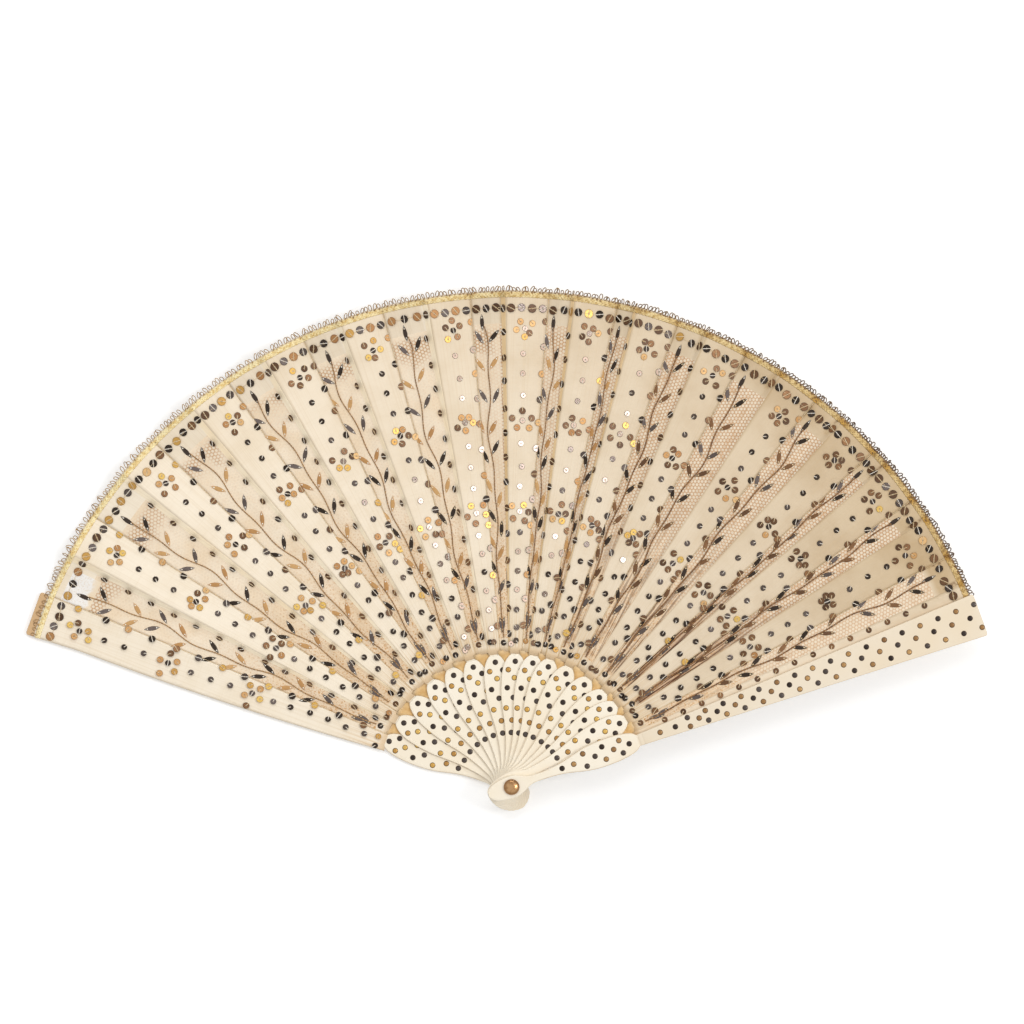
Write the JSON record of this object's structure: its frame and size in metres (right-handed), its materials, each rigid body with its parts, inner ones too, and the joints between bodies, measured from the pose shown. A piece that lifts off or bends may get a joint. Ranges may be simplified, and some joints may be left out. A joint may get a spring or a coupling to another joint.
{
  "type": "folding fan",
  "caption": "Open folding fan with bone guards and sticks on one rivet and a pleated leaf of silk and net strips, which folds shut by turning about the rivet.",
  "frame": {"origin": "middle of the rivet's flat back, on the rivet's axis, level with the back of the rear guard", "axes": "+Z along the rivet's axis, up from the table the fan lies on; +Y from the rivet to the middle of the open leaf; +X towards the front guard's side"},
  "size_m": [0.4034, 0.2184, 0.0221],
  "materials": {
    "bone": "satin",
    "silk": "satin",
    "net": "matte",
    "brass": "polished"
  },
  "bodies": {
    "rear_guard": {"rear_guard": "bone", "silk_panel_01": "silk", "rivet_pin": "brass", "rivet_back": "brass", "rivet_dome": "brass", "net_panel_01": "net"},
    "stick_01": {"stick_01": "bone", "silk_panel_02": "silk", "net_panel_02": "net"},
    "stick_02": {"stick_02": "bone", "silk_panel_03": "silk", "net_panel_03": "net"},
    "stick_03": {"stick_03": "bone", "silk_panel_04": "silk", "net_panel_04": "net"},
    "stick_04": {"stick_04": "bone", "silk_panel_05": "silk", "net_panel_05": "net"},
    "stick_05": {"stick_05": "bone", "silk_panel_06": "silk", "net_panel_06": "net"},
    "stick_06": {"stick_06": "bone", "silk_panel_07": "silk", "net_panel_07": "net"},
    "stick_07": {"stick_07": "bone", "silk_panel_08": "silk", "net_panel_08": "net"},
    "stick_08": {"stick_08": "bone", "silk_panel_09": "silk", "net_panel_09": "net"},
    "stick_09": {"stick_09": "bone", "silk_panel_10": "silk", "net_panel_10": "net"},
    "stick_10": {"stick_10": "bone", "silk_panel_11": "silk", "net_panel_11": "net"},
    "stick_11": {"stick_11": "bone", "silk_panel_12": "silk", "net_panel_12": "net"},
    "stick_12": {"stick_12": "bone", "silk_panel_13": "silk", "net_panel_13": "net"},
    "stick_13": {"stick_13": "bone", "silk_panel_14": "silk", "net_panel_14": "net"},
    "stick_14": {"stick_14": "bone", "silk_panel_15": "silk", "net_panel_15": "net"},
    "front_guard": {"front_guard": "bone", "silk_panel_16": "silk"}
  },
  "joints": [
    {"name": "fold_01", "type": "hinge", "parent": "rear_guard", "child": "stick_01", "pos_m": [0, 0, 0], "axis": [0, 0, 1], "range_deg": [0, 10.4], "deforming": ["net_panel_01"]},
    {"name": "fold_02", "type": "hinge", "parent": "stick_01", "child": "stick_02", "pos_m": [0, 0, 0], "axis": [0, 0, 1], "range_deg": [0, 11.1], "deforming": ["net_panel_02"]},
    {"name": "fold_03", "type": "hinge", "parent": "stick_02", "child": "stick_03", "pos_m": [0, 0, 0], "axis": [0, 0, 1], "range_deg": [0, 11], "deforming": ["net_panel_03"]},
    {"name": "fold_04", "type": "hinge", "parent": "stick_03", "child": "stick_04", "pos_m": [0, 0, 0], "axis": [0, 0, 1], "range_deg": [0, 10.1], "deforming": ["net_panel_04"]},
    {"name": "fold_05", "type": "hinge", "parent": "stick_04", "child": "stick_05", "pos_m": [0, 0, 0], "axis": [0, 0, 1], "range_deg": [0, 9.8], "deforming": ["net_panel_05"]},
    {"name": "fold_06", "type": "hinge", "parent": "stick_05", "child": "stick_06", "pos_m": [0, 0, 0], "axis": [0, 0, 1], "range_deg": [0, 10.4], "deforming": ["net_panel_06"]},
    {"name": "fold_07", "type": "hinge", "parent": "stick_06", "child": "stick_07", "pos_m": [0, 0, 0], "axis": [0, 0, 1], "range_deg": [0, 9.2], "deforming": ["net_panel_07"]},
    {"name": "fold_08", "type": "hinge", "parent": "stick_07", "child": "stick_08", "pos_m": [0, 0, 0], "axis": [0, 0, 1], "range_deg": [0, 8.1], "deforming": ["net_panel_08"]},
    {"name": "fold_09", "type": "hinge", "parent": "stick_08", "child": "stick_09", "pos_m": [0, 0, 0], "axis": [0, 0, 1], "range_deg": [0, 7.3], "deforming": ["net_panel_09"]},
    {"name": "fold_10", "type": "hinge", "parent": "stick_09", "child": "stick_10", "pos_m": [0, 0, 0], "axis": [0, 0, 1], "range_deg": [0, 8.7], "deforming": ["net_panel_10"]},
    {"name": "fold_11", "type": "hinge", "parent": "stick_10", "child": "stick_11", "pos_m": [0, 0, 0], "axis": [0, 0, 1], "range_deg": [0, 9.8], "deforming": ["net_panel_11"]},
    {"name": "fold_12", "type": "hinge", "parent": "stick_11", "child": "stick_12", "pos_m": [0, 0, 0], "axis": [0, 0, 1], "range_deg": [0, 9], "deforming": ["net_panel_12"]},
    {"name": "fold_13", "type": "hinge", "parent": "stick_12", "child": "stick_13", "pos_m": [0, 0, 0], "axis": [0, 0, 1], "range_deg": [0, 7.2], "deforming": ["net_panel_13"]},
    {"name": "fold_14", "type": "hinge", "parent": "stick_13", "child": "stick_14", "pos_m": [0, 0, 0], "axis": [0, 0, 1], "range_deg": [0, 7.8], "deforming": ["net_panel_14"]},
    {"name": "fold_15", "type": "hinge", "parent": "stick_14", "child": "front_guard", "pos_m": [0, 0, 0], "axis": [0, 0, 1], "range_deg": [0, 10.1], "deforming": ["net_panel_15"]}
  ],
  "couplings": [
    {"joint": "fold_02", "follows": "fold_01", "ratio": 1.0673},
    {"joint": "fold_03", "follows": "fold_01", "ratio": 1.0577},
    {"joint": "fold_04", "follows": "fold_01", "ratio": 0.97115},
    {"joint": "fold_05", "follows": "fold_01", "ratio": 0.94231},
    {"joint": "fold_06", "follows": "fold_01", "ratio": 1},
    {"joint": "fold_07", "follows": "fold_01", "ratio": 0.88462},
    {"joint": "fold_08", "follows": "fold_01", "ratio": 0.77885},
    {"joint": "fold_09", "follows": "fold_01", "ratio": 0.70192},
    {"joint": "fold_10", "follows": "fold_01", "ratio": 0.83654},
    {"joint": "fold_11", "follows": "fold_01", "ratio": 0.94231},
    {"joint": "fold_12", "follows": "fold_01", "ratio": 0.86538},
    {"joint": "fold_13", "follows": "fold_01", "ratio": 0.69231},
    {"joint": "fold_14", "follows": "fold_01", "ratio": 0.75},
    {"joint": "fold_15", "follows": "fold_01", "ratio": 0.97115}
  ]
}
